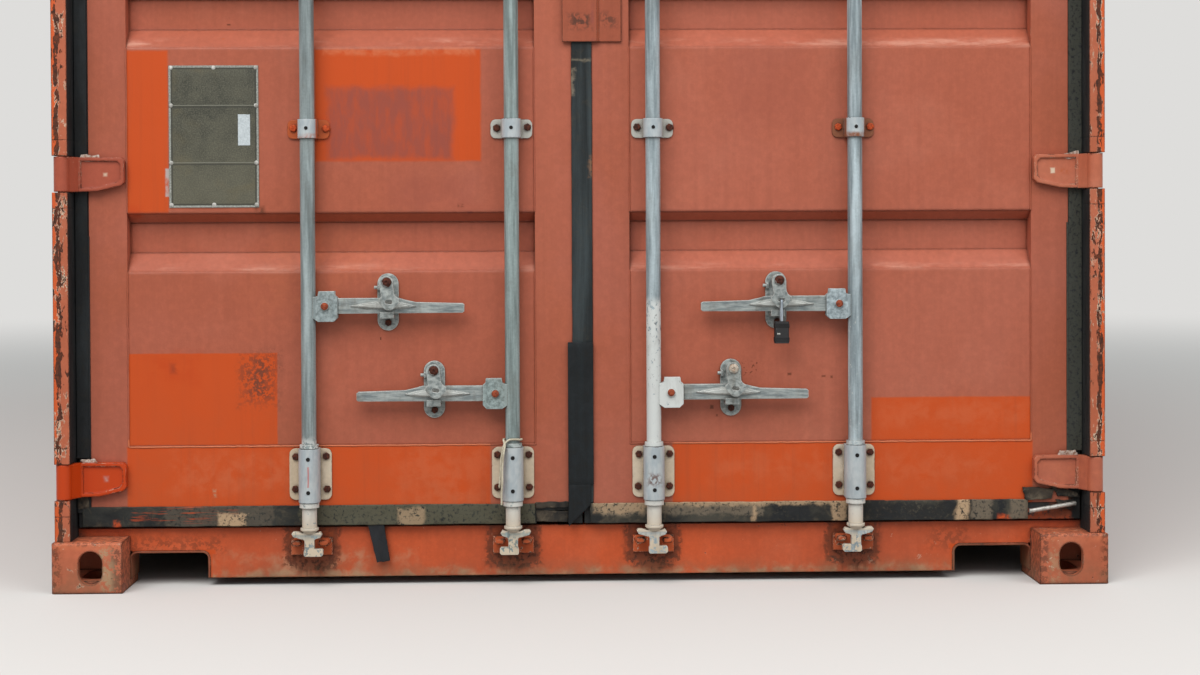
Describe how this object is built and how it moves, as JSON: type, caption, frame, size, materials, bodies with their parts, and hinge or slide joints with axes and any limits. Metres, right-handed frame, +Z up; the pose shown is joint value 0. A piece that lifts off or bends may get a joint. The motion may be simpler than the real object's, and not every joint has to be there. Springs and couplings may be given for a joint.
{
  "type": "shipping container",
  "caption": "Steel freight container with corrugated walls, corner castings, fork pockets and a pair of end doors with locking bars, swing handles and a padlock",
  "frame": {"origin": "centre of the footprint, on the ground", "axes": "+Z up, +Y along the container from the door end to the closed end, +X to the right when looking at the doors"},
  "size_m": [2.438, 6.058, 2.591],
  "materials": {
    "body_paint": "matte",
    "hinge_paint": "matte",
    "bracket_paint": "matte",
    "rusty_paint": "matte",
    "galvanised": "satin",
    "seal_rubber": "matte",
    "floor_board": "matte",
    "plate_paint": "satin",
    "cord_fibre": "matte",
    "lock_paint": "satin"
  },
  "bodies": {
    "container": {"bottom_castings": "body_paint", "top_castings": "body_paint", "door_posts": "body_paint", "front_posts": "body_paint", "door_sill": "body_paint", "sill_cap": "body_paint", "sill_linings": "body_paint", "door_header": "body_paint", "side_rails": "body_paint", "front_rails": "body_paint", "side_walls": "body_paint", "front_wall": "body_paint", "roof": "body_paint", "floor": "floor_board", "cross_members": "body_paint", "hinge_lugs": "body_paint", "cam_keepers": "rusty_paint"},
    "left_door": {"left_door_frame": "body_paint", "left_door_panel": "body_paint", "left_door_seal": "seal_rubber", "left_hinges": "hinge_paint", "left_bar_brackets": "bracket_paint", "left_catches": "galvanised", "data_plate": "plate_paint", "tie_cord": "cord_fibre"},
    "right_door": {"right_door_frame": "body_paint", "right_door_panel": "body_paint", "right_door_seal": "seal_rubber", "right_hinges": "hinge_paint", "right_bar_brackets": "bracket_paint", "right_catches": "galvanised", "overlap_plate": "body_paint"},
    "left_outer_bar": {"left_outer_bar": "galvanised"},
    "left_outer_handle": {"left_outer_handle": "galvanised"},
    "left_outer_latch": {"left_outer_latch": "galvanised"},
    "left_inner_bar": {"left_inner_bar": "galvanised"},
    "left_inner_handle": {"left_inner_handle": "galvanised"},
    "left_inner_latch": {"left_inner_latch": "galvanised"},
    "right_outer_bar": {"right_outer_bar": "galvanised"},
    "right_outer_handle": {"right_outer_handle": "galvanised"},
    "right_outer_latch": {"right_outer_latch": "galvanised"},
    "right_inner_bar": {"right_inner_bar": "galvanised"},
    "right_inner_handle": {"right_inner_handle": "galvanised"},
    "right_inner_latch": {"right_inner_latch": "galvanised"},
    "padlock": {"padlock": "lock_paint"}
  },
  "joints": [
    {"name": "right_door_swing", "type": "hinge", "parent": "container", "child": "right_door", "pos_m": [1.193, -3.003, 1.3015], "axis": [0, 0, 1], "range_deg": [0, 265]},
    {"name": "left_door_swing", "type": "hinge", "parent": "container", "child": "left_door", "pos_m": [-1.193, -3.003, 1.3015], "axis": [0, 0, -1], "range_deg": [0, 265]},
    {"name": "left_outer_bar_turn", "type": "hinge", "parent": "left_door", "child": "left_outer_bar", "pos_m": [-0.6345, -2.986, 1.3015], "axis": [0, 0, 1], "range_deg": [-110, 0]},
    {"name": "left_outer_handle_lift", "type": "hinge", "parent": "left_outer_bar", "child": "left_outer_handle", "pos_m": [-0.595, -2.986, 0.653], "axis": [0, -1, 0], "range_deg": [0, 5]},
    {"name": "left_outer_latch_swing", "type": "hinge", "parent": "left_door", "child": "left_outer_latch", "pos_m": [-0.4525, -3.015, 0.7075], "axis": [0, -1, 0], "range_deg": [0, 95]},
    {"name": "left_inner_bar_turn", "type": "hinge", "parent": "left_door", "child": "left_inner_bar", "pos_m": [-0.164, -2.986, 1.3015], "axis": [0, 0, -1], "range_deg": [-110, 0]},
    {"name": "left_inner_handle_lift", "type": "hinge", "parent": "left_inner_bar", "child": "left_inner_handle", "pos_m": [-0.2035, -2.986, 0.449], "axis": [0, 1, 0], "range_deg": [0, 5]},
    {"name": "left_inner_latch_swing", "type": "hinge", "parent": "left_door", "child": "left_inner_latch", "pos_m": [-0.346, -3.015, 0.5035], "axis": [0, -1, 0], "range_deg": [0, 95]},
    {"name": "right_outer_bar_turn", "type": "hinge", "parent": "right_door", "child": "right_outer_bar", "pos_m": [0.6345, -2.986, 1.3015], "axis": [0, 0, -1], "range_deg": [-110, 0]},
    {"name": "right_outer_handle_lift", "type": "hinge", "parent": "right_outer_bar", "child": "right_outer_handle", "pos_m": [0.595, -2.986, 0.653], "axis": [0, 1, 0], "range_deg": [0, 5]},
    {"name": "right_outer_latch_swing", "type": "hinge", "parent": "right_door", "child": "right_outer_latch", "pos_m": [0.4525, -3.015, 0.7075], "axis": [0, 1, 0], "range_deg": [0, 95]},
    {"name": "right_inner_bar_turn", "type": "hinge", "parent": "right_door", "child": "right_inner_bar", "pos_m": [0.164, -2.986, 1.3015], "axis": [0, 0, 1], "range_deg": [-110, 0]},
    {"name": "right_inner_handle_lift", "type": "hinge", "parent": "right_inner_bar", "child": "right_inner_handle", "pos_m": [0.2035, -2.986, 0.449], "axis": [0, -1, 0], "range_deg": [0, 5]},
    {"name": "right_inner_latch_swing", "type": "hinge", "parent": "right_door", "child": "right_inner_latch", "pos_m": [0.346, -3.015, 0.5035], "axis": [0, -1, 0], "range_deg": [0, 95]},
    {"name": "padlock_swing", "type": "hinge", "parent": "right_outer_latch", "child": "padlock", "pos_m": [0.4585, -3.015, 0.6622], "axis": [0, -1, 0], "range_deg": [0, 95]}
  ],
  "couplings": [
    {"joint": "left_door_swing", "follows": "right_door_swing", "ratio": 1}
  ]
}
